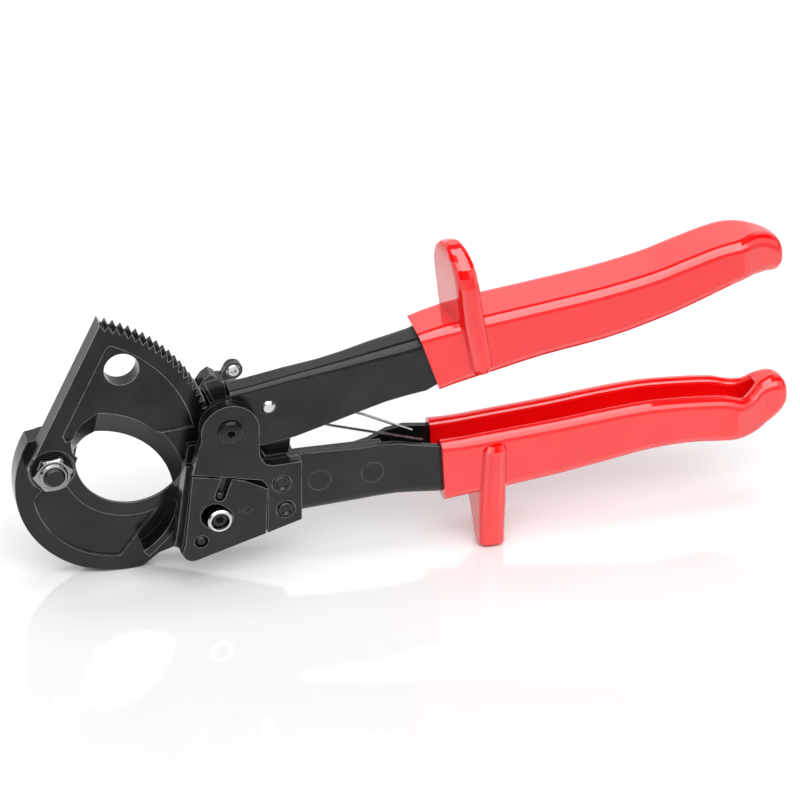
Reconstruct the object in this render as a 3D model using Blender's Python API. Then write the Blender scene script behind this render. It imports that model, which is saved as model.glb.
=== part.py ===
"""Ratchet cable cutter. Metres, +Z up, handles along +X, front side plate towards -Y.

Outlines are given in millimetres from the release knob's axis (X), the front
plate's face (Y) and the ground (Z), and moved to the box centre by at().
"""

import math

import bmesh
import bpy
import numpy as np

MM = 0.001
SHIFT_X = -68.25
SHIFT_Y = -12.65
GAP = 0.3

# pivots (x, z) in millimetres
BLADE_PIVOT = (-52.2, 45.8)
HANDLE_PIVOT = (3.9, 57.7)
DRIVE_PAWL_PIVOT = (17.3, 62.7)
HOLDING_PAWL_PIVOT = (11.0, 41.0)
KNOB = (0.0, 25.6)

# end of the return spring's rear leg (x, z), in the lower channel
LEG_END = (68.0, 42.2)

# layers (y from, y to) in millimetres
FRONT_PLATE = (0.0, 4.0)
COVER_PLATE = (0.0, 1.9)
CHANNEL_FRONT = 4.3
CHANNEL_WALL = 2.0
NARROW_BACK = 12.9
WIDE_BACK = 20.3
INNER_PLATE = (6.6, 8.9)
TANG = (6.6, 10.8)
BLADE = (9.7, 16.2)
JAW = (16.5, 23.5)
GRIP = (2.0, 22.4)
GUARD = (-0.4, 23.0)
HOLLOW = (7.5, 16.9)
FLARE = 2.4
LEAN = 0.12

# blade
TOOTH_TIP = 53.5
TOOTH_ROOT = 51.6
TOOTH_PITCH = 3.0
TOOTH_FIRST = 71.6
TEETH = 27
PANEL_DEPTH = 0.9

# hook jaw
HOOK_CENTRE = (-27.9, 35.5)
HOOK_RADIUS = 35.5
MOUTH_CENTRE = (-24.9, 44.2)
MOUTH_RADIUS = 18.6

# holding pawl's edge towards the blade, at the end of its travel away from the teeth
HOLD_RADIUS = 56.6

BLACK = ("black_oxide_steel", (0.030, 0.030, 0.032), 0.38, 0.9)
GROUND = ("ground_blade_steel", (0.045, 0.045, 0.048), 0.30, 0.95)
RED = ("red_dipped_vinyl", (0.80, 0.012, 0.012), 0.18, 0.0)
ZINC = ("zinc_plated_steel", (0.75, 0.75, 0.76), 0.25, 1.0)
WIRE = ("spring_wire", (0.30, 0.30, 0.31), 0.35, 1.0)


def clear_scene():
    for item in list(bpy.data.objects):
        bpy.data.objects.remove(item)


def at(x, y, z):
    return ((x + SHIFT_X) * MM, (y + SHIFT_Y) * MM, z * MM)


def arc(centre, radius, start, end, steps):
    """Points on a circle in the X-Z plane, degrees counted from +X towards +Z."""
    points = []
    for i in range(steps + 1):
        a = math.radians(start + (end - start) * i / steps)
        points.append((centre[0] + radius * math.cos(a), centre[1] + radius * math.sin(a)))
    return points


def solid(name, verts, faces):
    mesh = bpy.data.meshes.new(name)
    mesh.from_pydata(verts, [], faces)
    bm = bmesh.new()
    bm.from_mesh(mesh)
    bmesh.ops.recalc_face_normals(bm, faces=bm.faces)
    bm.to_mesh(mesh)
    bm.free()
    item = bpy.data.objects.new(name, mesh)
    bpy.context.scene.collection.objects.link(item)
    return item


def loft(name, loops):
    """A closed body through loops of (x, y, z) millimetre points, capped flat at both ends."""
    count = len(loops[0])
    verts = [at(*p) for loop in loops for p in loop]
    faces = [list(range(count)), list(range((len(loops) - 1) * count, len(loops) * count))]
    for k in range(len(loops) - 1):
        for i in range(count):
            j = (i + 1) % count
            faces.append([k * count + i, k * count + j, (k + 1) * count + j, (k + 1) * count + i])
    return solid(name, verts, faces)


def prism(name, outline, layer):
    return loft(name, [[(x, y, z) for x, z in outline] for y in layer])


def taper(name, front, front_y, back, back_y):
    """A body between two X-Z outlines with the same number of points."""
    return loft(name, [[(x, front_y, z) for x, z in front], [(x, back_y, z) for x, z in back]])


def turned(name, centre, profile, steps=32):
    """A turned body about Y: profile is (radius, y), from axis to axis, or a closed ring."""
    verts = []
    rings = []
    for radius, y in profile:
        if radius == 0:
            rings.append([len(verts)])
            verts.append(at(centre[0], y, centre[1]))
            continue
        ring = arc(centre, radius, 0, 360 - 360 / steps, steps - 1)
        rings.append(list(range(len(verts), len(verts) + steps)))
        verts += [at(x, y, z) for x, z in ring]
    pairs = list(zip(rings, rings[1:]))
    if profile[0][0] > 0:
        pairs.append((rings[-1], rings[0]))
    faces = []
    for a, b in pairs:
        for i in range(steps):
            j = (i + 1) % steps
            quad = [a[i % len(a)], a[j % len(a)], b[j % len(b)], b[i % len(b)]]
            faces.append(list(dict.fromkeys(quad)))
    return solid(name, verts, faces)


def disc(name, centre, radius, layer, steps=32):
    return turned(name, centre, [(0, layer[0]), (radius, layer[0]), (radius, layer[1]), (0, layer[1])], steps)


def boolean(item, other, operation, solver="EXACT"):
    modifier = item.modifiers.new(operation.lower(), "BOOLEAN")
    modifier.operation = operation
    modifier.solver = solver
    modifier.object = other
    other.hide_render = True
    other.display_type = "WIRE"
    return item


def cut(item, *others):
    for other in others:
        boolean(item, other, "DIFFERENCE")
    return item


def join(item, *others):
    for other in others:
        boolean(item, other, "UNION")
    return item


def drill(item, centre, radius, layer=(-5, 40), steps=32):
    return cut(item, disc(item.name + ".drill", centre, radius, layer, steps))


def finish(item, look, angle=35):
    name, colour, roughness, metallic = look
    material = bpy.data.materials.new(item.name + "." + name)
    material.use_nodes = True
    shader = material.node_tree.nodes["Principled BSDF"]
    shader.inputs["Base Color"].default_value = (*colour, 1)
    shader.inputs["Roughness"].default_value = roughness
    shader.inputs["Metallic"].default_value = metallic
    item.data.materials.clear()
    item.data.materials.append(material)
    item.data.shade_smooth()
    item.data.set_sharp_from_angle(angle=math.radians(angle))
    return item


def hexagon(centre, radius, turn):
    return arc(centre, radius, turn, turn + 300, 5)


# ---------------------------------------------------------------- fixed jaw and blade

def jaw_outline():
    points = arc(HOOK_CENTRE, HOOK_RADIUS, 150, 279, 42)
    points += [(-16.5, 4.85), (-11.1, 6.5), (27.5, 20.7), (27.5, 43.0), (18.2, 43.0)]
    points += [(15.2, 44.2), (13.6, 47.2), (13.2, 50.0)]
    points += arc(HANDLE_PIVOT, 9.5, 0, 180, 16)
    points += arc(MOUTH_CENTRE, MOUTH_RADIUS, 14, -196, 48)
    points += arc(BLADE_PIVOT, 8.6, 22, 112, 8)
    return points


def fixed_jaw():
    jaw = prism("fixed_jaw", jaw_outline(), JAW)
    start, end = -35, -212
    edge = arc(MOUTH_CENTRE, MOUTH_RADIUS - 0.2, start, end, 40) + [MOUTH_CENTRE]
    back = arc(MOUTH_CENTRE, MOUTH_RADIUS + 4.4, start, end, 40) + [MOUTH_CENTRE]
    cut(jaw, taper("jaw_grind", edge, JAW[0] + 0.5, back, JAW[1] + 0.1))
    panel = arc(HOOK_CENTRE, 29.9, -93.5, -172, 24)
    panel += arc(MOUTH_CENTRE, 23.5, -173, -71, 24)
    cut(jaw, prism("jaw_panel", panel, (JAW[0] - 1, JAW[0] + PANEL_DEPTH)))
    drill(jaw, BLADE_PIVOT, 3.6)
    drill(jaw, HANDLE_PIVOT, 2.8)
    drill(jaw, HOLDING_PAWL_PIVOT, 2.1, (10, 22.3))
    for centre, radius in ((RIVET_UPPER, 1.9), (RIVET_LOWER, 1.9)):
        drill(jaw, centre, radius + 0.2)
    return finish(jaw, BLACK)


def blade_outline():
    points = []
    for k in range(TEETH):
        tip = TOOTH_FIRST - TOOTH_PITCH * k
        points += arc(BLADE_PIVOT, TOOTH_TIP, tip, tip, 1)[:1]
        points += arc(BLADE_PIVOT, TOOTH_ROOT, tip - 2.55, tip, 1)[:1]
    last = TOOTH_FIRST - TOOTH_PITCH * TEETH
    points += arc(BLADE_PIVOT, TOOTH_ROOT, last - 1.5, last - 6, 2)
    points += arc(BLADE_PIVOT, 48.6, -24, -50.5, 8)
    points += [(-22.6, 9.6)]
    points += arc((-34.0, 30.0), 22.2, -60.8, 3.3, 14)
    points += arc((-38.7, 27.9), 27.0, 10, 86.4, 22)
    points += arc((-34.3, 44.4), 10.6, 107, 164, 8)
    points += arc(BLADE_PIVOT, 7.7, -2, -183, 18)
    points += [(-36.3, 94.4)]
    return points


def moving_blade():
    blade = prism("moving_blade", blade_outline(), BLADE)
    edge = arc((-34.3, 44.4), 10.4, 164, 107, 8) + arc((-38.7, 27.9), 26.8, 86.4, 10, 22)
    edge += arc((-34.0, 30.0), 22.0, 3.3, -10, 3) + [(-33.0, 36.0)]
    face = arc((-35.5, 54.5), 10.3, 200, 118, 8) + arc((-40.0, 35.0), 31.0, 84, 9, 22)
    face += arc((-41.0, 33.0), 30.9, 2, -11, 3) + [(-33.0, 36.0)]
    cut(blade, taper("blade_grind", face, BLADE[0] - 0.1, edge, BLADE[1] - 0.5))
    panel = arc(BLADE_PIVOT, 47.3, 64.8, 12, 24)
    panel += arc((-40.0, 35.0), 29.6, 42, 84, 14) + arc((-35.5, 54.5), 9.0, 118, 170, 6)
    panel += [(-47.4, 55.6), (-48.3, 57.8), (-33.4, 88.0)]
    boolean(blade, prism("blade_panel", panel, (BLADE[0] - 1, BLADE[0] + PANEL_DEPTH)), "DIFFERENCE", "MANIFOLD")
    boolean(blade, disc("blade_hole", (-28.7, 79.2), 5.6, (5, 20), 40), "DIFFERENCE", "MANIFOLD")
    boolean(blade, disc("blade_bore", BLADE_PIVOT, 5.4, (5, 20), 40), "DIFFERENCE", "MANIFOLD")
    boolean(blade, disc("blade_seat", BLADE_PIVOT, 7.3, (5, 10.9), 40), "DIFFERENCE", "MANIFOLD")
    return finish(blade, GROUND)


# ---------------------------------------------------------------- frame plates

RIVET_UPPER = (20.8, 35.8)
RIVET_LOWER = (22.2, 25.9)
TANG_RIVETS = (("tang_rivet_front", (34.6, 32.6)), ("tang_rivet_rear", (52.5, 33.0)))
COVER_PIN_UPPER = (0.4, 34.0)
COVER_PIN_LOWER = (-5.9, 17.6)


def knob_slot(name, width, layer, before, after):
    """A slot curved about the holding pawl's pivot, round at both ends, for the ring knob."""
    cx, cz = HOLDING_PAWL_PIVOT
    reach = math.hypot(KNOB[0] - cx, KNOB[1] - cz)
    middle = math.degrees(math.atan2(KNOB[1] - cz, KNOB[0] - cx))
    a, b = middle - before, middle + after
    first = arc((cx, cz), reach, a, a, 1)[0]
    second = arc((cx, cz), reach, b, b, 1)[0]
    points = arc(first, width, a - 180, a, 12)
    points += arc((cx, cz), reach + width, a, b, 5)[1:-1]
    points += arc(second, width, b, b + 180, 12)
    points += arc((cx, cz), reach - width, b, a, 5)[1:-1]
    return prism(name, points, layer)


def front_side_plate():
    outline = arc(HANDLE_PIVOT, 9.5, 0, 190, 18)
    outline += [(-8.5, 43.5), (-11.5, 17.3), (-12.6, 13.8)]
    outline += arc((-8.6, 14.2), 4.0, 196, 288, 6)
    outline += [(27.6, 21.3), (27.4, 43.4), (18.2, 43.1), (15.6, 43.9), (13.9, 46.2), (13.4, 49.5)]
    plate = prism("front_side_plate", outline, FRONT_PLATE)
    pocket = [(-15, 44.7), (4.3, 40.6), (7.1, 39.8), (14.4, 38.2), (16.4, 35.2), (15.9, 8.0), (-15, 2.0)]
    cut(plate, prism("cover_pocket", pocket, (-1, COVER_PLATE[1] + GAP)))
    cut(plate, knob_slot("plate_slot", 4.5, (-2, 6), 6.6, 0.4))
    drill(plate, HANDLE_PIVOT, 2.8)
    for centre in (RIVET_UPPER, RIVET_LOWER):
        drill(plate, centre, 2.1)
        drill(plate, centre, 3.2, (-1, 0.7))
    drill(plate, COVER_PIN_UPPER, 1.35)
    drill(plate, COVER_PIN_LOWER, 1.65)
    return finish(plate, BLACK)


def pawl_cover_plate():
    outline = [(-8.6, 42.6), (-11.2, 17.4), (-12.2, 13.9)]
    outline += arc((-8.5, 14.3), 3.8, 196, 288, 6)
    outline += [(15.6, 17.6), (16.1, 34.6), (8.2, 38.9), (4.3, 40.0)]
    plate = prism("pawl_cover_plate", outline, COVER_PLATE)
    cut(plate, knob_slot("cover_slot", 4.5, (-2, 6), 6.6, 0.4))
    u_slot = arc(COVER_PIN_UPPER, 1.8, 160, 340, 10) + arc((2.7, 40.6), 1.8, -20, 160, 10)
    cut(plate, prism("cover_u_slot", u_slot, (-1, 3)))
    drill(plate, COVER_PIN_LOWER, 2.3)
    return finish(plate, BLACK)


def inner_side_plate():
    thick = [(-9.8, 44.0), (-13.4, 17.3), (-14.2, 14.4), (-9.0, 11.6), (15.2, 18.6), (15.2, 42.6), (6.0, 44.0)]
    plate = prism("inner_side_plate", thick, (CHANNEL_FRONT, INNER_PLATE[1]))
    thin = [(-9.8, 42.0), (-8.6, 50.5), (1.0, 50.5), (5.0, 42.0)]
    join(plate, prism("inner_plate_ear", thin, INNER_PLATE))
    cut(plate, knob_slot("inner_slot", 4.5, (2, 12), 6.6, 0.4))
    drill(plate, HOLDING_PAWL_PIVOT, 2.1)
    drill(plate, COVER_PIN_UPPER, 1.35)
    drill(plate, COVER_PIN_LOWER, 1.65)
    return finish(plate, BLACK)


def frame_parts():
    outline = [(17, 24.0), (27.5, 24.6), (29.5, 26.4), (55.2, 27.2), (57.8, 39.4), (56.4, 41.6), (28.5, 42.0), (17, 41.8)]
    tang = prism("inner_tang", outline, TANG)
    spacer = prism("frame_spacer", [(17, 19.5), (27, 22.0), (27, 41.6), (17, 41.6)], (11.1, 16.2))
    for item in (tang, spacer):
        for centre in (RIVET_UPPER, RIVET_LOWER):
            drill(item, centre, 2.1)
    for _, centre in TANG_RIVETS:
        drill(tang, centre, 2.5)
    finish(tang, BLACK)
    finish(spacer, BLACK)
    block = [(14.1, 47.8), (17.0, 43.1), (24.7, 43.1), (25.4, 48.8)]
    finish(prism("handle_stop_block", block, (6.8, 10.4)), BLACK)


def fasteners():
    for name, centre, head in (("frame_rivet_upper", RIVET_UPPER, 2.9), ("frame_rivet_lower", RIVET_LOWER, 2.6)):
        back = JAW[1]
        profile = [(0, -0.1), (head - 1.5, -0.1), (head - 0.9, -0.55), (head - 0.3, -0.55), (head, -0.2)]
        profile += [(head, 0.4), (1.9, 0.4), (1.9, back + GAP), (head, back + GAP)]
        profile += [(head, back + 0.8), (head - 0.6, back + 1.2), (0, back + 1.2)]
        finish(turned(name, centre, profile), BLACK)
    for name, centre in TANG_RIVETS:
        profile = [(0, 4.2), (3.6, 4.2), (3.6, 5.7), (2.3, 6.0), (2.3, 11.1), (3.4, 11.1), (3.4, 11.9), (0, 12.1)]
        finish(turned(name, centre, profile), BLACK)
    for name, centre, radius in (("cover_pin_upper", COVER_PIN_UPPER, 1.2), ("cover_pin_lower", COVER_PIN_LOWER, 1.5)):
        profile = [(0, 0.2), (radius - 0.3, 0.2), (radius, 0.5), (radius, 8.6), (0, 8.6)]
        finish(turned(name, centre, profile, 20), BLACK)
    profile = [(0, 4.5), (1.9, 4.5), (1.9, 22.0), (0, 22.0)]
    finish(turned("holding_pawl_pin", HOLDING_PAWL_PIVOT, profile, 24), BLACK)

    screw = turned("handle_pivot_screw", HANDLE_PIVOT, [
        (0, -1.5), (2.4, -1.45), (3.5, -1.2), (4.1, -0.8), (4.2, -GAP), (2.5, -GAP),
        (2.5, 24.2), (2.0, 24.7), (0, 24.7)])
    cut(screw, prism("pivot_socket", hexagon(HANDLE_PIVOT, 1.4, 15), (-4, 0.4)))
    finish(screw, BLACK)

    bolt = turned("blade_pivot_bolt", BLADE_PIVOT, [
        (0, 4.3), (2.8, 4.3), (3.35, 4.9), (3.35, 23.8), (6.4, 23.8), (6.4, 26.4), (5.6, 27.2), (0, 27.2)])
    cut(bolt, prism("bolt_socket", hexagon(BLADE_PIVOT, 3.2, 20), (24.8, 29)))
    finish(bolt, ZINC)
    ring = [(3.55, 10.15), (6.9, 10.15), (6.9, 10.7), (3.55, 10.7)]
    finish(turned("blade_washer", BLADE_PIVOT, ring), ZINC)
    nut = prism("blade_lock_nut", hexagon(BLADE_PIVOT, 6.5, 6), (6.2, 9.85))
    join(nut, turned("nut_collar", BLADE_PIVOT, [
        (0, 5.2), (4.1, 5.2), (4.6, 5.8), (4.6, 8.0), (0, 8.0)]))
    chamfer = [(4.9, 5.9), (7.5, 5.9), (7.5, 7.1), (6.6, 7.1)]
    cut(nut, turned("nut_chamfer", BLADE_PIVOT, chamfer))
    drill(nut, BLADE_PIVOT, 3.6)
    finish(nut, ZINC)


# ---------------------------------------------------------------- handles

def place(web, lip, y, v):
    """A point v millimetres from the web point towards the lip point."""
    length = math.hypot(lip[0] - web[0], lip[1] - web[1])
    return (web[0] + (lip[0] - web[0]) * v / length, y, web[1] + (lip[1] - web[1]) * v / length)


def channel_section(station, grow=0.0, corner=3.0, steps=4):
    """A U section: (web point, front lip point, back lip height share, y to)."""
    web, lip, share, back = station
    height = math.hypot(lip[0] - web[0], lip[1] - web[1])
    y0, y1 = CHANNEL_FRONT - grow, back + grow
    wall = CHANNEL_WALL + 2 * grow
    front_v, back_v = height + grow, height * share + grow
    points = [(y0, front_v)]
    for k in range(steps + 1):
        a = math.radians(180 + 90 * k / steps)
        points.append((y0 + corner + corner * math.cos(a), corner - grow + corner * math.sin(a)))
    for k in range(steps + 1):
        a = math.radians(270 + 90 * k / steps)
        points.append((y1 - corner + corner * math.cos(a), corner - grow + corner * math.sin(a)))
    points += [(y1, back_v), (y1 - wall, back_v)]
    inner = corner - wall + 0.6
    inner = max(inner, 0.4)
    for k in range(steps + 1):
        a = math.radians(0 - 90 * k / steps)
        points.append((y1 - wall - inner + inner * math.cos(a), wall - grow + inner + inner * math.sin(a)))
    for k in range(steps + 1):
        a = math.radians(270 - 90 * k / steps)
        points.append((y0 + wall + inner + inner * math.cos(a), wall - grow + inner + inner * math.sin(a)))
    points.append((y0 + wall, front_v))
    return [place(web, lip, y, v) for y, v in points]


def round_section(web, lip, layer, radius, steps=4):
    """A rounded rectangle between the web point and the lip point."""
    height = math.hypot(lip[0] - web[0], lip[1] - web[1])
    y0, y1 = layer
    corners = ((y0, 0, 180), (y1, 0, 270), (y1, height, 0), (y0, height, 90))
    points = []
    for y, v, start in corners:
        cy = y + radius if y == y0 else y - radius
        cv = radius if v == 0 else v - radius
        for k in range(steps + 1):
            a = math.radians(start + 90 * k / steps)
            points.append((cy + radius * math.cos(a), cv + radius * math.sin(a)))
    return [place(web, lip, y, v) for y, v in points]


def smooth_rows(rows, steps=3):
    """Rows of (web, lip, radius, layer) with steps spans between each two, on a smooth curve."""
    flat = [np.array([*web, *lip, radius, *layer]) for web, lip, radius, layer in rows]
    flat = [2 * flat[0] - flat[1]] + flat + [2 * flat[-1] - flat[-2]]
    result = []
    for p0, p1, p2, p3 in zip(flat, flat[1:], flat[2:], flat[3:]):
        for k in range(steps):
            t = k / steps
            result.append(0.5 * (2 * p1 + (p2 - p0) * t + (2 * p0 - 5 * p1 + 4 * p2 - p3) * t ** 2
                                 + (3 * p1 - p0 - 3 * p2 + p3) * t ** 3))
    result.append(flat[-2])
    return [((r[0], r[1]), (r[2], r[3]), r[4], (r[5], r[6])) for r in result]


def hollow_section(web, lip, flare, layer, floor=5.9, corner=1.4, steps=5):
    """A hollow's section from floor above the web to past the lip, rounding the lip's inner edges."""
    height = math.hypot(lip[0] - web[0], lip[1] - web[1])
    y0, y1 = layer
    points = [(y0 - flare, height + 25), (y0 - flare, height + 0.5)]
    for k in range(steps + 1):
        a = math.radians(80 - 80 * k / steps)
        points.append((y0 - flare + flare * math.cos(a), height - flare + flare * math.sin(a)))
    for cy, start in ((y0 + corner, 180), (y1 - corner, 270)):
        for k in range(4):
            a = math.radians(start + 30 * k)
            points.append((cy + corner * math.cos(a), floor + corner + corner * math.sin(a)))
    for k in range(steps + 1):
        a = math.radians(180 - 80 * k / steps)
        points.append((y1 + flare + flare * math.cos(a), height - flare + flare * math.sin(a)))
    points += [(y1 + flare, height + 0.5), (y1 + flare, height + 25)]
    return [place(web, lip, y, v) for y, v in points]


# channels: web point, front lip point, back wall height share, back face
LOWER_CHANNEL = [
    ((28.0, 20.9), (28.0, 43.6), 0.62, WIDE_BACK),
    ((38.0, 21.4), (38.0, 43.2), 0.62, WIDE_BACK),
    ((48.0, 21.9), (47.6, 42.8), 0.64, WIDE_BACK),
    ((55.0, 22.3), (54.7, 43.1), 0.70, WIDE_BACK),
    ((61.5, 22.4), (61.0, 42.6), 0.86, WIDE_BACK),
    ((67.5, 21.9), (67.0, 41.2), 0.97, WIDE_BACK),
    ((75.5, 21.0), (74.9, 39.6), 1.0, WIDE_BACK),
    ((84.0, 21.8), (83.6, 39.6), 1.0, WIDE_BACK),
    ((97.8, 23.2), (97.0, 40.4), 1.0, WIDE_BACK),
    ((117.0, 25.4), (116.0, 41.6), 1.0, WIDE_BACK),
    ((133.0, 27.9), (132.0, 43.0), 1.0, WIDE_BACK),
    ((149.0, 30.4), (148.3, 44.0), 1.0, WIDE_BACK),
    ((163.0, 30.9), (163.6, 43.4), 1.0, WIDE_BACK),
    ((174.0, 29.9), (175.0, 42.1), 1.0, WIDE_BACK),
    ((180.0, 29.3), (180.6, 40.6), 1.0, WIDE_BACK),
]

# grips: web point, lip point, corner radius, layer
LOWER_GRIP = [
    ((77.2, 19.0), (75.4, 41.4), 2.6, GRIP),
    ((85.0, 19.6), (84.0, 41.6), 3.2, GRIP),
    ((97.8, 20.8), (97.0, 42.5), 3.2, GRIP),
    ((117.0, 23.0), (116.1, 43.8), 3.2, GRIP),
    ((133.0, 25.5), (132.1, 45.3), 3.2, GRIP),
    ((149.0, 28.0), (148.4, 46.3), 3.2, GRIP),
    ((163.0, 28.5), (163.6, 45.6), 3.2, GRIP),
    ((174.0, 27.5), (175.2, 44.4), 3.2, GRIP),
    ((181.0, 27.2), (181.6, 42.6), 3.2, GRIP),
    ((187.6, 28.0), (185.8, 43.6), 3.2, (4.0, 19.6)),
    ((192.6, 30.2), (189.4, 46.4), 3.4, (5.6, 17.8)),
    ((196.8, 32.8), (194.4, 47.6), 4.0, (6.2, 17.2)),
    ((199.0, 35.8), (197.8, 46.0), 3.6, (7.0, 16.4)),
    ((199.9, 38.6), (199.3, 43.6), 1.9, (8.8, 14.4)),
]

UPPER_CHANNEL = [
    ((5.0, 69.4), (6.4, 48.7), 1.0, NARROW_BACK),
    ((12.0, 70.4), (14.0, 48.5), 1.0, NARROW_BACK),
    ((24.0, 72.6), (26.2, 50.4), 1.0, NARROW_BACK),
    ((35.0, 74.3), (38.0, 53.8), 1.0, NARROW_BACK),
    ((43.5, 75.7), (46.0, 56.2), 1.0, NARROW_BACK + 1.0),
    ((53.0, 77.4), (56.5, 59.3), 1.0, NARROW_BACK + 2.6),
    ((60.5, 78.7), (64.0, 60.7), 1.0, NARROW_BACK + 3.5),
    ((66.0, 79.7), (70.2, 61.6), 1.0, NARROW_BACK + 4.0),
    ((72.0, 81.4), (76.0, 64.6), 1.0, NARROW_BACK + 4.5),
    ((88.0, 83.6), (91.0, 67.4), 1.0, WIDE_BACK),
    ((106.6, 86.0), (108.4, 71.2), 1.0, WIDE_BACK),
    ((129.0, 89.2), (131.0, 75.0), 1.0, WIDE_BACK),
    ((146.0, 92.7), (148.6, 79.6), 1.0, WIDE_BACK),
    ((157.0, 96.2), (159.6, 83.4), 1.0, WIDE_BACK),
    ((168.0, 99.8), (172.0, 88.4), 1.0, WIDE_BACK),
    ((174.0, 101.4), (176.4, 91.6), 1.0, WIDE_BACK),
]

UPPER_GRIP = [
    ((66.6, 82.9), (74.3, 61.6), 2.6, (2.0, 19.0)),
    ((75.2, 84.7), (80.8, 63.1), 3.2, (2.0, 20.6)),
    ((88.0, 86.4), (91.6, 65.5), 3.2, GRIP),
    ((106.6, 88.8), (108.8, 69.4), 3.2, GRIP),
    ((129.0, 91.9), (131.2, 73.1), 3.2, GRIP),
    ((146.0, 95.3), (148.6, 77.8), 3.2, GRIP),
    ((157.0, 98.7), (160.2, 81.9), 3.2, GRIP),
    ((168.0, 102.0), (171.8, 86.6), 3.2, GRIP),
    ((175.6, 103.4), (178.0, 88.8), 3.4, GRIP),
    ((181.6, 104.1), (182.6, 88.8), 3.8, (4.2, 19.6)),
    ((186.6, 103.0), (187.0, 88.8), 4.0, (5.6, 17.6)),
    ((190.2, 101.0), (190.4, 88.6), 4.2, (6.2, 17.0)),
    ((192.0, 99.0), (192.3, 90.0), 3.6, (7.0, 16.2)),
    ((192.9, 96.8), (193.1, 92.4), 1.9, (8.8, 14.4)),
]


def guard_section(a, b, layer, radius, lean=0.0, steps=4):
    """A rounded rectangle between (x, z) points a and b, leaning back towards -X as y grows."""
    y0, y1 = layer
    height = math.hypot(b[0] - a[0], b[1] - a[1])
    corners = ((0, y0, 180), (height, y0, 270), (height, y1, 0), (0, y1, 90))
    points = []
    for u, y, start in corners:
        cu = radius if u == 0 else u - radius
        cy = y + radius if y == y0 else y - radius
        for k in range(steps + 1):
            t = math.radians(start + 90 * k / steps)
            points.append((cu + radius * math.cos(t), cy + radius * math.sin(t)))
    section = [place(a, b, y, u) for u, y in points]
    return [(x - lean * (y - GUARD[0]), y, z) for x, y, z in section]


def lower_handle():
    channel = loft("lower_handle_channel", [channel_section(s) for s in LOWER_CHANNEL])
    tongue = [(15.6, 19.2), (29.5, 23.8), (29.5, 42.2), (15.6, 42.2)]
    join(channel, prism("channel_tongue", tongue, (CHANNEL_FRONT, CHANNEL_FRONT + CHANNEL_WALL)))
    for centre in (RIVET_UPPER, RIVET_LOWER):
        drill(channel, centre, 2.1)
    for _, centre in TANG_RIVETS:
        drill(channel, centre, 3.75, (-1, 7))
    finish(channel, BLACK)

    grip = loft("lower_grip", [round_section(web, lip, layer, radius)
                               for web, lip, radius, layer in smooth_rows(LOWER_GRIP)])
    fin = [guard_section((90.5, 0), (97.6, 0), (1.4, 7.6), 2.2)]
    fin += [guard_section((89.4, 1.2), (98.2, 1.2), (GUARD[0], 9.4), 2.8)]
    fin += [guard_section((89.2, 6.0), (98.2, 6.1), (GUARD[0], 12.0), 3.0)]
    fin += [guard_section((89.1, 11.0), (98.2, 11.2), (GUARD[0], 15.4), 3.0)]
    fin += [guard_section((89.0, 15.5), (98.2, 15.8), (GUARD[0], 20.0), 3.0)]
    fin += [guard_section((89.0, 19.0), (98.2, 19.4), GUARD, 3.2)]
    fin += [guard_section((89.4, 37.0), (97.8, 37.3), GUARD, 3.2)]
    fin += [guard_section((90.4, 38.8), (97.0, 39.0), (0.6, 22.4), 2.8)]
    fin += [guard_section((92.4, 39.6), (95.6, 39.7), (2.6, 21.4), 1.5)]
    join(grip, loft("lower_guard", fin))
    rows = [((70.2, 18.7), (68.4, 41.2), FLARE, HOLLOW)]
    rows += [(web, lip, FLARE, HOLLOW) for web, lip, _, _ in LOWER_GRIP[:9]]
    rows += [((186.4, 27.8), (184.8, 43.2), 1.8, (9.0, 15.6)), ((190.4, 31.6), (188.0, 45.4), 1.2, (10.6, 14.0))]
    sections = [hollow_section(*row) for row in smooth_rows(rows)]
    cut(grip, loft("lower_grip_hollow", sections))
    slot = [channel_section(s, GAP) for s in LOWER_CHANNEL[5:]]
    last = ((181.0, 29.2), (181.6, 40.5), 1.0, WIDE_BACK)
    slot[-1] = channel_section(last, GAP)
    cut(grip, loft("lower_grip_slot", slot))
    finish(grip, RED, 40)


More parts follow.
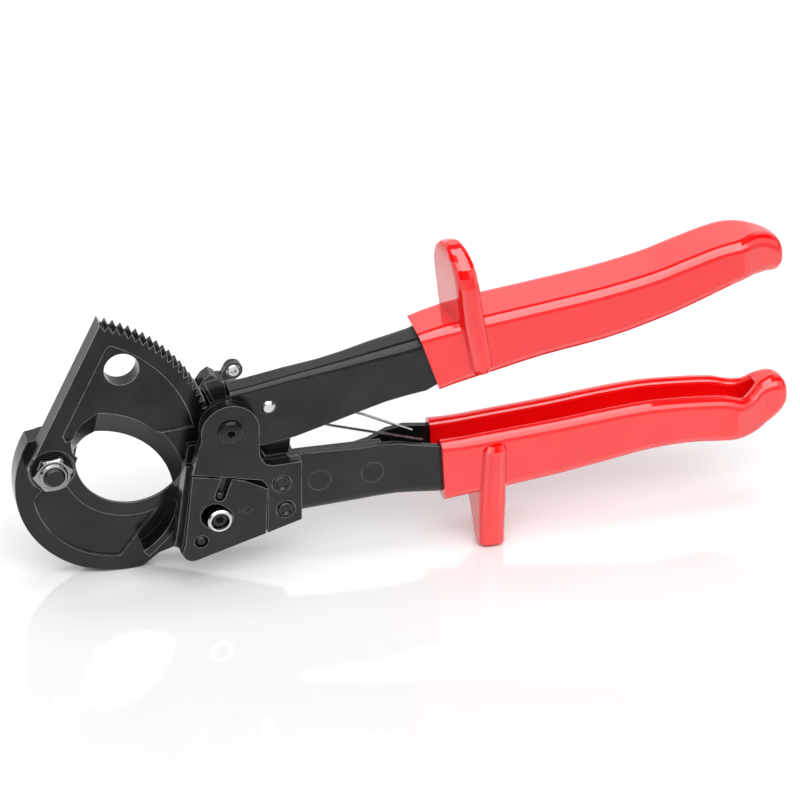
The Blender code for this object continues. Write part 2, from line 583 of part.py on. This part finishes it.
def upper_handle():
    channel = loft("upper_handle_channel", [channel_section(s, 0.0, 1.6) for s in UPPER_CHANNEL[:1]]
                   + [channel_section(s, 0.0, 1.6 + min(i, 5) * 0.28) for i, s in enumerate(UPPER_CHANNEL[1:])])
    disc_wall = disc("pivot_disc", HANDLE_PIVOT, 9.0, (CHANNEL_FRONT, CHANNEL_FRONT + CHANNEL_WALL), 48)
    join(channel, disc_wall)
    relief = [(-8.0, 67.2), (-8.0, 40.0), (8.6, 40.0), (8.6, 67.2)]
    cut(channel, prism("rim_relief", relief, (CHANNEL_FRONT + CHANNEL_WALL, 16)))
    drill(channel, HANDLE_PIVOT, 4.2)
    drill(channel, DRIVE_PAWL_PIVOT, 2.45)
    finish(channel, BLACK)

    grip = loft("upper_grip", [round_section(web, lip, layer, radius)
                               for web, lip, radius, layer in smooth_rows(UPPER_GRIP)])
    fin = [
        ((87.2, 65.6), (89.8, 65.8), (2.6, 20.4), 1.2), ((85.6, 66.6), (91.4, 67.4), (0.8, 22.0), 2.6),
        ((84.6, 68.6), (91.8, 69.6), GUARD, 3.0), ((80.8, 84.6), (88.8, 85.6), GUARD, 3.2),
        ((78.8, 99.0), (86.2, 100.0), GUARD, 3.2), ((78.4, 102.6), (85.6, 103.4), (0.2, 22.7), 3.2),
        ((78.2, 105.2), (85.2, 105.9), (1.6, 21.6), 3.2), ((78.1, 107.2), (84.8, 107.8), (3.6, 20.0), 3.0),
        ((78.3, 108.8), (84.4, 109.3), (6.0, 18.0), 2.8), ((78.6, 109.8), (83.9, 110.2), (8.4, 15.8), 2.4),
        ((79.2, 110.4), (83.4, 110.7), (10.6, 13.8), 1.5)]
    join(grip, loft("upper_guard", [guard_section(a, b, layer, radius, LEAN) for a, b, layer, radius in fin]))
    rows = [((60.4, 82.0), (66.4, 59.4), FLARE, (HOLLOW[0], 13.6))]
    rows += [(web, lip, FLARE, (HOLLOW[0], min(HOLLOW[1], 13.6 + 1.5 * k)))
             for k, (web, lip, _, _) in enumerate(UPPER_GRIP[:9])]
    rows += [((181.6, 103.8), (182.6, 88.8), 1.6, (10.0, 14.4))]
    cut(grip, loft("upper_grip_hollow", [hollow_section(*row) for row in smooth_rows(rows)]))
    slot = [channel_section(s, GAP, 3.3) for s in UPPER_CHANNEL[6:]]
    last = ((175.0, 101.7), (177.4, 91.9), 1.0, WIDE_BACK)
    slot[-1] = channel_section(last, GAP, 3.3)
    cut(grip, loft("upper_grip_slot", slot))
    finish(grip, RED, 40)

    bush = [(2.75, 4.3), (3.95, 4.3), (3.95, 6.5), (2.75, 6.5)]
    finish(turned("handle_pivot_bush", HANDLE_PIVOT, bush), BLACK)
    pin = [(0, 3.5), (1.6, 3.5), (2.3, 4.0), (2.3, 13.0), (1.9, 13.4), (0, 13.4)]
    finish(turned("drive_pawl_pin", DRIVE_PAWL_PIVOT, pin, 24), ZINC)


# ---------------------------------------------------------------- pawls and springs

def drive_pawl():
    nose = arc(BLADE_PIVOT, 54.6, 20.5, 27, 5)
    nose += [(-4.8, 71.4), (-3.1, 74.0), (-0.8, 75.6), (1.2, 74.2), (2.0, 71.0), (2.2, 66.2)]
    pawl = prism("drive_pawl", nose, (7.0, 12.6))
    arm = arc(DRIVE_PAWL_PIVOT, 4.0, -120, 75, 12) + [(9.0, 66.9), (4.2, 66.9), (3.6, 72.0), (1.0, 74.0)]
    arm += [(-3.0, 73.0), (-0.4, 67.0), (0.8, 64.2), (3.0, 63.9), (9.0, 62.6)]
    join(pawl, prism("pawl_arm", arm, (6.6, 7.7)))
    drill(pawl, DRIVE_PAWL_PIVOT, 2.5)
    finish(pawl, BLACK)
    lever = arc((6.8, 75.6), 3.1, -85, 165, 18) + [(2.7, 74.2), (3.4, 72.3)]
    arm = prism("pawl_lift_lever", lever, (7.9, 10.2))
    drill(arm, (6.8, 75.6), 2.25)
    finish(arm, BLACK)
    pin = turned("pawl_lift_pin", (6.8, 75.6), [(0, 7.3), (1.7, 7.3), (2.05, 7.7), (2.05, 12.1), (0, 12.1)], 24)
    cut(pin, prism("lift_socket", hexagon((6.8, 75.6), 1.1, 10), (6, 8.3)))
    finish(pin, ZINC)


def holding_pawl():
    outline = arc(HOLDING_PAWL_PIVOT, 4.0, -60, 130, 14)
    outline += [(4.6, 40.8)]
    outline += arc(BLADE_PIVOT, HOLD_RADIUS, -9, -26, 10)
    outline += [(1.6, 19.8), (5.0, 22.2), (7.4, 28.0)]
    pawl = prism("holding_pawl", outline, (9.7, 13.0))
    drill(pawl, HOLDING_PAWL_PIVOT, 2.1)
    finish(pawl, BLACK)
    knob = [(3.1, -1.9), (3.7, -1.9), (4.1, -1.5), (4.1, 9.4), (1.7, 9.4), (1.7, 1.8), (3.1, 1.8)]
    finish(turned("release_knob", KNOB, knob), ZINC)
    screw = turned("release_knob_screw", KNOB, [
        (0, -0.7), (2.4, -0.7), (2.8, -0.3), (2.8, 1.5), (1.4, 1.5), (1.4, 9.2), (0, 9.2)])
    cut(screw, prism("knob_socket", hexagon(KNOB, 1.5, 0), (-3, 0.9)))
    finish(screw, BLACK)


def wire(name, path, radius, steps=8):
    """A round wire through (x, y, z) millimetre points, cut square at both ends."""
    curve = bpy.data.curves.new(name, "CURVE")
    curve.dimensions = "3D"
    curve.bevel_depth = radius * MM
    curve.bevel_resolution = 2
    curve.use_fill_caps = True
    curve.resolution_u = 1
    curve.render_resolution_u = 0
    line = curve.splines.new("POLY")
    line.points.add(len(path) - 1)
    for point, place_at in zip(line.points, path):
        point.co = (*at(*place_at), 1)
    item = bpy.data.objects.new(name, curve)
    bpy.context.scene.collection.objects.link(item)
    material = bpy.data.materials.new(name + ".wire")
    material.use_nodes = True
    shader = material.node_tree.nodes["Principled BSDF"]
    shader.inputs["Base Color"].default_value = (*WIRE[1], 1)
    shader.inputs["Roughness"].default_value = WIRE[2]
    shader.inputs["Metallic"].default_value = WIRE[3]
    curve.materials.append(material)
    return item


def coil(centre, radius, start, turns, y0, y1, steps=20):
    points = []
    count = int(steps * abs(turns))
    for k in range(count + 1):
        a = math.radians(start + 360 * turns * k / count)
        y = y0 + (y1 - y0) * k / count
        points.append((centre[0] + radius * math.cos(a), y, centre[1] + radius * math.sin(a)))
    return points


def springs():
    cx, cz = DRIVE_PAWL_PIVOT
    reach = 4.6
    slope = -17.6
    down = slope - 90
    start = (cx + reach * math.cos(math.radians(down)), cz + reach * math.sin(math.radians(down)))
    along = (math.cos(math.radians(slope)), math.sin(math.radians(slope)))

    def leg(distance, y):
        return (start[0] + along[0] * distance, y, start[1] + along[1] * distance)

    path = [leg(57.0, 7.5), leg(24.0, 7.5), leg(15.0, 8.6), leg(6.0, 8.6)]
    path += coil(DRIVE_PAWL_PIVOT, reach, down, -1.5, 8.6, 10.15)
    top = (2 * cx - start[0], 2 * cz - start[1])
    for share, y in ((0.12, 10.15), (0.42, 10.15), (0.66, 12.4), (1.0, 12.4)):
        path.append((top[0] + (LEG_END[0] - top[0]) * share, y, top[1] + (LEG_END[1] - top[1]) * share))
    wire("return_spring", path, 0.45)
    path = coil(HOLDING_PAWL_PIVOT, 3.0, -80, 2, 13.7, 15.5, 16)
    path += [(14.6, 15.5, 33.0)]
    wire("holding_pawl_spring", path, 0.35)


def main():
    clear_scene()
    fixed_jaw()
    moving_blade()
    finish(turned("blade_bush", BLADE_PIVOT, [(3.55, 11.2), (5.2, 11.2), (5.2, 16.1), (3.55, 16.1)]), ZINC)
    front_side_plate()
    pawl_cover_plate()
    inner_side_plate()
    frame_parts()
    fasteners()
    lower_handle()
    upper_handle()
    drive_pawl()
    holding_pawl()
    springs()


main()
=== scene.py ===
"""Looks of the ratchet cable cutter: finishes, small marks, floor, light and camera."""
import math

import bmesh
import bpy
from mathutils import Matrix, Vector


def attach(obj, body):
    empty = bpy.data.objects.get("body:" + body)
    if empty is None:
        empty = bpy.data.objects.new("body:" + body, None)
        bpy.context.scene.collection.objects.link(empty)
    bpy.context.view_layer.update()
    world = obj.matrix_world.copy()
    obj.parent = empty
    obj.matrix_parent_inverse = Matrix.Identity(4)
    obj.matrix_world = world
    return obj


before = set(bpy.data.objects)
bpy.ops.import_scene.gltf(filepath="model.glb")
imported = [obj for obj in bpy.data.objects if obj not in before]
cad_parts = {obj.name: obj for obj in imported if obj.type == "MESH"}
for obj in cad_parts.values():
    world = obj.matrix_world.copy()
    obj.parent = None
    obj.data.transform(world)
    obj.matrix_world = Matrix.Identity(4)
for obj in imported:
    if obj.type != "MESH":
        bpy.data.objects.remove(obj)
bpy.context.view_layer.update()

MM = 0.001
# the release knob's axis in the frame, in metres: (x, y) of the point where x and y below are 0
KNOB_AXIS = (-0.06825, -0.01265)
KNOB_HEIGHT = 25.6

# studio room: (degrees, brightness) from the front horizon over the top to the back horizon
ROOM_BANDS = ((0, 0.03), (30, 0.03), (38, 1.8), (64, 1.8), (74, 0.06), (128, 0.06), (138, 0.46), (180, 0.46))
ROOM_LEVEL = 2.3
ROOM_SIDES = 0.25
# share of the left-right direction where the room starts and ends fading to its sides
ROOM_FADE = (0.45, 0.85)

# one soft overhead lamp: place and target in metres, size in metres, watts
LAMP_PLACE = (0.0, 0.05, 0.9)
LAMP_TARGET = (0, 0, 0.05)
LAMP_SIZE = (0.7, 0.5)
LAMP_POWER = 4

FLOOR_HALF = 6.0
FLOOR_DROP = 0.0001

# camera: degrees from the front (negative is left), degrees up and degrees of roll; focal length
# in sensor widths; distance in metres
CAMERA_ANGLES = (-16.5, 30.33, 1.43)
CAMERA_FOCAL = 3.76
CAMERA_DISTANCE = 0.97346
# the knob's centre sits left of and below the middle of the picture, in frame widths
KNOB_ACROSS, KNOB_DOWN = -0.2259, 0.1485
SENSOR_WIDTH = 36

# reach in metres of the light line along edges, partly rubbed oxide and partly a painted highlight, and the
# least angle in degrees of a rounded edge
EDGE_WEAR_AND_HIGHLIGHT = 0.0004
BEVEL_ANGLE = 32


def place(x, y, z):
    """Millimetres from the knob axis and the front face to the row frame."""
    return Vector((x * MM + KNOB_AXIS[0], y * MM + KNOB_AXIS[1], z * MM))


# ---------------------------------------------------------------- material helpers

class Nodes:
    """Short spellings for building one material's node tree."""

    def __init__(self, name):
        self.material = bpy.data.materials.new(name)
        self.material.use_nodes = True
        self.tree = self.material.node_tree
        self.shader = self.tree.nodes["Principled BSDF"]
        self.coords = self.tree.nodes.new("ShaderNodeTexCoord")

    def add(self, kind, **settings):
        node = self.tree.nodes.new(kind)
        for key, value in settings.items():
            setattr(node, key, value)
        return node

    def link(self, source, target):
        self.tree.links.new(source, target)

    def mapped(self, scale, rotation=(0, 0, 0)):
        node = self.add("ShaderNodeMapping")
        node.inputs["Scale"].default_value = scale
        node.inputs["Rotation"].default_value = rotation
        self.link(self.coords.outputs["Object"], node.inputs["Vector"])
        return node.outputs["Vector"]

    def noise(self, scale, detail=4, rough=0.55, vector=None):
        node = self.add("ShaderNodeTexNoise")
        node.inputs["Scale"].default_value = scale
        node.inputs["Detail"].default_value = detail
        node.inputs["Roughness"].default_value = rough
        self.link(vector or self.coords.outputs["Object"], node.inputs["Vector"])
        return node.outputs["Fac"]

    def ramp(self, source, low, high, a=0.0, b=1.0):
        node = self.add("ShaderNodeMapRange")
        node.inputs["From Min"].default_value = low
        node.inputs["From Max"].default_value = high
        node.inputs["To Min"].default_value = a
        node.inputs["To Max"].default_value = b
        self.link(source, node.inputs["Value"])
        return node.outputs["Result"]

    def mix(self, factor, a, b):
        node = self.add("ShaderNodeMix", data_type="RGBA")
        self.link(factor, node.inputs["Factor"])
        for socket, value in ((node.inputs[6], a), (node.inputs[7], b)):
            if isinstance(value, tuple):
                socket.default_value = (*value, 1)
            else:
                self.link(value, socket)
        return node.outputs[2]

    def math(self, operation, a, b):
        node = self.add("ShaderNodeMath", operation=operation)
        for socket, value in ((node.inputs[0], a), (node.inputs[1], b)):
            if isinstance(value, (int, float)):
                socket.default_value = value
            else:
                self.link(value, socket)
        return node.outputs[0]

    def edges(self, radius, low=0.02, high=0.2):
        """1 on edges and corners, 0 on flats, from the rounded normal."""
        bevel = self.add("ShaderNodeBevel", samples=6)
        bevel.inputs["Radius"].default_value = radius
        geometry = self.add("ShaderNodeNewGeometry")
        dot = self.add("ShaderNodeVectorMath", operation="DOT_PRODUCT")
        self.link(bevel.outputs["Normal"], dot.inputs[0])
        self.link(geometry.outputs["Normal"], dot.inputs[1])
        return self.ramp(self.math("SUBTRACT", 1.0, dot.outputs["Value"]), low, high)

    def bump(self, height, strength, distance, normal=None):
        node = self.add("ShaderNodeBump")
        node.inputs["Strength"].default_value = strength
        node.inputs["Distance"].default_value = distance
        self.link(height, node.inputs["Height"])
        if normal is not None:
            self.link(normal, node.inputs["Normal"])
        return node.outputs["Normal"]

    def finish(self, colour=None, roughness=None, normal=None, **constants):
        for name, value in constants.items():
            self.shader.inputs[name.replace("_", " ")].default_value = value
        for name, source in (("Base Color", colour), ("Roughness", roughness), ("Normal", normal)):
            if source is not None:
                self.link(source, self.shader.inputs[name])
        return self.material


def black_steel(name, dark=(0.011, 0.011, 0.012), worn_and_highlight=(0.24, 0.24, 0.245), rough=0.19):
    """Black oxide on pressed steel: glossy, cloudy, with a light line along the edges that is partly rubbed
    oxide and partly a painted highlight.
    """
    n = Nodes(name)
    cloud = n.noise(90, 5, 0.6)
    grain = n.noise(2600, 3, 0.6)
    colour = n.mix(n.ramp(cloud, 0.35, 0.7), dark, tuple(c * 1.9 for c in dark))
    # painted highlight: the light line along the edges is partly rubbed oxide and partly painted in for the
    # light that sharp edges catch
    wear_and_highlight = n.math("MULTIPLY", n.edges(EDGE_WEAR_AND_HIGHLIGHT, 0.01, 0.12), n.ramp(n.noise(420, 4), 0.25, 0.5))
    colour = n.mix(n.math("MULTIPLY", wear_and_highlight, 0.75), colour, worn_and_highlight)
    roughness = n.math("ADD", n.ramp(cloud, 0.3, 0.7, rough - 0.07, rough + 0.07),
                       n.ramp(grain, 0.3, 0.7, -0.03, 0.03))
    normal = n.bump(grain, 0.05, 0.00006, n.bump(cloud, 0.05, 0.0004))
    return n.finish(colour, roughness, normal, Metallic=0.55, Specular_IOR_Level=0.6)


def blade_steel(name):
    """Black oxide blade with faint grinding marks and a slightly lighter ground cutting bevel."""
    n = Nodes(name)
    cloud = n.noise(80, 5, 0.6)
    along = n.noise(1, 5, 0.7, n.mapped((5200, 300, 160), (0, math.radians(-25), 0)))
    split = n.add("ShaderNodeSeparateXYZ")
    n.link(n.coords.outputs["Normal"], split.inputs[0])
    slope = n.math("ABSOLUTE", split.outputs["Y"], 0.0)
    ground = n.math("MULTIPLY", n.ramp(slope, 0.985, 0.955), n.ramp(slope, 0.30, 0.5))
    colour = n.mix(n.ramp(cloud, 0.35, 0.7), (0.012, 0.012, 0.013), (0.022, 0.022, 0.024))
    colour = n.mix(n.math("MULTIPLY", n.ramp(along, 0.5, 0.75), 0.15), colour, (0.06, 0.06, 0.063))
    steel = n.mix(n.ramp(along, 0.35, 0.65), (0.018, 0.018, 0.019), (0.04, 0.04, 0.042))
    colour = n.mix(n.math("MULTIPLY", ground, 0.55), colour, steel)
    # painted highlight: a light grey line along the blade's edges, partly rubbed oxide and partly painted in
    # for the light that the edges catch
    wear_and_highlight = n.math("MULTIPLY", n.edges(EDGE_WEAR_AND_HIGHLIGHT, 0.01, 0.12), n.ramp(n.noise(420, 4), 0.25, 0.5))
    colour = n.mix(n.math("MULTIPLY", wear_and_highlight, 0.8), colour, (0.45, 0.45, 0.46))
    roughness = n.math("ADD", n.ramp(cloud, 0.3, 0.7, 0.16, 0.22), n.ramp(along, 0.3, 0.7, -0.04, 0.05))
    normal = n.bump(along, 0.06, 0.00005, n.bump(cloud, 0.05, 0.0004))
    return n.finish(colour, roughness, normal, Metallic=0.7, Specular_IOR_Level=0.6)


def dipped_vinyl(name):
    """Thick glossy dip coat: smooth, faintly wavy, with painted shade that makes it a little darker along its
    edges.
    """
    n = Nodes(name)
    cloud = n.noise(45, 3, 0.5)
    peel = n.noise(700, 2, 0.5)
    colour = n.mix(n.ramp(cloud, 0.3, 0.7), (0.80, 0.002, 0.003), (0.86, 0.003, 0.004))
    # painted shade: the red is darkened along the rounded edges
    painted_edge_shade = n.math("MULTIPLY", n.edges(0.0012, 0.05, 0.4), 0.35)
    colour = n.mix(painted_edge_shade, colour, (0.50, 0.001, 0.002))
    roughness = n.math("ADD", n.ramp(cloud, 0.3, 0.7, 0.10, 0.15), n.ramp(peel, 0.3, 0.7, -0.01, 0.01))
    normal = n.bump(peel, 0.03, 0.00008, n.bump(cloud, 0.06, 0.0010))
    return n.finish(colour, roughness, normal, Metallic=0.0, Specular_IOR_Level=0.62,
                    Coat_Weight=0.7, Coat_Roughness=0.03, Coat_IOR=1.55)


def plated(name, tone=0.66, rough=0.2):
    """Metal plate or wire with a fine grain and a little cloudiness."""
    n = Nodes(name)
    cloud = n.noise(160, 4)
    fine = n.noise(3800, 3)
    colour = n.mix(n.ramp(cloud, 0.3, 0.7), (tone * 0.88, tone * 0.88, tone * 0.9), (tone, tone, tone * 1.01))
    roughness = n.math("ADD", n.ramp(cloud, 0.3, 0.7, rough - 0.04, rough + 0.06),
                       n.ramp(fine, 0.3, 0.7, -0.03, 0.03))
    normal = n.bump(fine, 0.08, 0.00004)
    return n.finish(colour, roughness, normal, Metallic=1.0)


# the third value is the colour of the edge line: partly rubbed oxide, partly a painted highlight
STEEL = black_steel("black_oxide_steel")
PLATE = black_steel("black_oxide_plate", (0.010, 0.010, 0.011), (0.38, 0.38, 0.385), 0.16)
FASTENER = black_steel("black_oxide_fastener", (0.009, 0.009, 0.010), (0.12, 0.12, 0.125), 0.16)
BLADE = blade_steel("ground_blade_steel")
VINYL = dipped_vinyl("red_dipped_vinyl")
ZINC = plated("zinc_plated_steel", 0.62, 0.14)
WIRE = plated("drawn_spring_wire", 0.42, 0.26)
NUT = plated("dull_plated_nut", 0.30, 0.10)

LOOKS = {
    "moving_blade": BLADE, "upper_grip": VINYL, "lower_grip": VINYL,
    "return_spring": WIRE, "holding_pawl_spring": WIRE, "blade_lock_nut": NUT,
    "upper_handle_channel": STEEL, "lower_handle_channel": STEEL,
}
LOOKS |= dict.fromkeys(("drive_pawl_pin", "pawl_lift_pin", "release_knob", "blade_bush"), ZINC)
LOOKS |= dict.fromkeys((
    "blade_pivot_bolt", "blade_washer", "handle_pivot_screw", "release_knob_screw", "frame_rivet_upper",
    "frame_rivet_lower", "tang_rivet_front", "tang_rivet_rear", "cover_pin_upper", "cover_pin_lower",
), FASTENER)

# rounded edge in metres for the nodes whose edges catch the light
ROUND = {
    "upper_grip": 0.0009, "lower_grip": 0.0009, "moving_blade": 0.00022, "fixed_jaw": 0.0004,
    "front_side_plate": 0.0004, "pawl_cover_plate": 0.0003, "upper_handle_channel": 0.0004,
    "lower_handle_channel": 0.0004, "drive_pawl": 0.0004, "pawl_lift_lever": 0.0004,
    "inner_side_plate": 0.0003, "inner_tang": 0.0003, "handle_stop_block": 0.0003,
    "blade_lock_nut": 0.0002, "holding_pawl": 0.0003,
}


def dress():
    for name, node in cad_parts.items():
        look = LOOKS.get(name, PLATE)
        if not node.material_slots:
            node.data.materials.append(look)
        for slot in node.material_slots:
            slot.material = look
        if name in ROUND:
            bevel = node.modifiers.new("rounded_edges", "BEVEL")
            bevel.width = ROUND[name]
            bevel.segments = 2
            bevel.limit_method = "ANGLE"
            bevel.angle_limit = math.radians(BEVEL_ANGLE)
            bevel.use_clamp_overlap = True
            bevel.harden_normals = False


# ---------------------------------------------------------------- small marks

def flat_piece(name, outline, y, depth, material):
    """A shallow inlay on a face towards -Y; outline is (x, z) in millimetres."""
    mesh = bpy.data.meshes.new(name)
    bm = bmesh.new()
    front = [bm.verts.new(place(x, y, z)) for x, z in outline]
    face = bm.faces.new(front)
    made = bmesh.ops.extrude_face_region(bm, geom=[face])
    moved = [g for g in made["geom"] if isinstance(g, bmesh.types.BMVert)]
    bmesh.ops.translate(bm, verts=moved, vec=(0, depth * MM, 0))
    bmesh.ops.recalc_face_normals(bm, faces=bm.faces)
    bm.to_mesh(mesh)
    bm.free()
    item = bpy.data.objects.new(name, mesh)
    bpy.context.scene.collection.objects.link(item)
    item.data.materials.append(material)
    return item


def arrow_mark():
    """A plain raised arrow that shows which way the knob is pushed."""
    x, z = 8.9, 27.5
    outline = [(x - 2.6, z - 0.55), (x - 0.2, z - 0.45), (x - 0.2, z - 1.7), (x + 2.6, z + 0.1),
               (x - 0.2, z + 1.7), (x - 0.2, z + 0.6), (x - 2.6, z + 0.5)]
    mark = flat_piece("release_arrow", outline, -0.05, 0.12, FASTENER)
    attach(mark, "frame")


# ---------------------------------------------------------------- stage, light, camera

def floor():
    mesh = bpy.data.meshes.new("floor")
    corners = [(x * FLOOR_HALF, y * FLOOR_HALF, 0) for x, y in ((-1, -1), (1, -1), (1, 1), (-1, 1))]
    mesh.from_pydata(corners, [], [(0, 1, 2, 3)])
    item = bpy.data.objects.new("floor", mesh)
    item.location.z = -FLOOR_DROP
    bpy.context.scene.collection.objects.link(item)
    n = Nodes("floor_gloss")
    cloud = n.noise(6, 2)
    colour = n.mix(n.ramp(cloud, 0.3, 0.7), (0.83, 0.83, 0.835), (0.84, 0.84, 0.845))
    item.data.materials.append(n.finish(colour, n.ramp(cloud, 0.3, 0.7, 0.07, 0.09), None, IOR=2.1))


def area_light(name, position, target, size, power):
    data = bpy.data.lights.new(name, "AREA")
    data.shape = "RECTANGLE"
    data.size, data.size_y = size
    data.energy = power
    item = bpy.data.objects.new(name, data)
    item.location = position
    item.rotation_euler = (Vector(target) - Vector(position)).to_track_quat("-Z", "Y").to_euler()
    bpy.context.scene.collection.objects.link(item)


def lights():
    area_light("overhead", LAMP_PLACE, LAMP_TARGET, LAMP_SIZE, LAMP_POWER)
    room()


def room():
    """A grey sweep behind, one bright softbox in front and above, dark gaps between, white to the camera."""
    world = bpy.data.worlds.new("studio")
    bpy.context.scene.world = world
    world.use_nodes = True
    tree = world.node_tree
    link = tree.links.new
    background = tree.nodes["Background"]
    background.inputs["Color"].default_value = (1, 1, 1, 1)
    coords = tree.nodes.new("ShaderNodeTexCoord")
    split = tree.nodes.new("ShaderNodeSeparateXYZ")
    link(coords.outputs["Generated"], split.inputs[0])

    def math_node(operation, a, b):
        node = tree.nodes.new("ShaderNodeMath")
        node.operation = operation
        for socket, value in ((node.inputs[0], a), (node.inputs[1], b)):
            if isinstance(value, (int, float)):
                socket.default_value = value
            else:
                link(value, socket)
        return node.outputs[0]

    # 0 at the front horizon, 0.5 straight up, 1 at the back horizon
    front = math_node("MULTIPLY", split.outputs["Y"], -1.0)
    turn = math_node("DIVIDE", math_node("ARCTAN2", split.outputs["Z"], front), math.pi)
    bands = tree.nodes.new("ShaderNodeValToRGB")
    stops = bands.color_ramp.elements
    while len(stops) > 1:
        stops.remove(stops[-1])
    for k, (degrees, level) in enumerate(ROOM_BANDS):
        stop = stops[0] if k == 0 else stops.new(degrees / 180)
        stop.position = degrees / 180
        stop.color = (level, level, level, 1)
    link(turn, bands.inputs["Fac"])
    side = tree.nodes.new("ShaderNodeMapRange")
    side.interpolation_type = "SMOOTHSTEP"
    fade = {"From Min": ROOM_FADE[0], "From Max": ROOM_FADE[1], "To Min": 1.0, "To Max": ROOM_SIDES}
    for name, value in fade.items():
        side.inputs[name].default_value = value
    link(math_node("ABSOLUTE", split.outputs["X"], 0.0), side.inputs["Value"])
    share = math_node("MULTIPLY", bands.outputs["Color"], side.outputs["Result"])
    level = math_node("MULTIPLY", share, ROOM_LEVEL)
    path = tree.nodes.new("ShaderNodeLightPath")
    seen = tree.nodes.new("ShaderNodeMix")
    seen.inputs["B"].default_value = 1.0
    link(path.outputs["Is Camera Ray"], seen.inputs["Factor"])
    link(level, seen.inputs["A"])
    link(seen.outputs["Result"], background.inputs["Strength"])


def camera():
    """A long lens that looks down on the front from the left."""
    azimuth, elevation, roll = (math.radians(v) for v in CAMERA_ANGLES)
    back = Vector((math.sin(azimuth) * math.cos(elevation), -math.cos(azimuth) * math.cos(elevation),
                   math.sin(elevation)))
    side = Vector((math.cos(azimuth), math.sin(azimuth), 0))
    up = back.cross(side)
    right = side * math.cos(roll) + up * math.sin(roll)
    top = up * math.cos(roll) - side * math.sin(roll)
    aim = back - right * KNOB_ACROSS / CAMERA_FOCAL + top * KNOB_DOWN / CAMERA_FOCAL
    eye = place(0, 0, KNOB_HEIGHT) + CAMERA_DISTANCE * aim
    data = bpy.data.cameras.new("camera")
    data.sensor_width = SENSOR_WIDTH
    data.lens = SENSOR_WIDTH * CAMERA_FOCAL
    data.clip_start = 0.01
    item = bpy.data.objects.new("camera", data)
    basis = Matrix((right, top, back)).transposed()
    item.matrix_world = Matrix.Translation(eye) @ basis.to_4x4()
    bpy.context.scene.collection.objects.link(item)
    bpy.context.scene.camera = item


bpy.context.scene.view_settings.view_transform = "Standard"
dress()
arrow_mark()
floor()
lights()
camera()
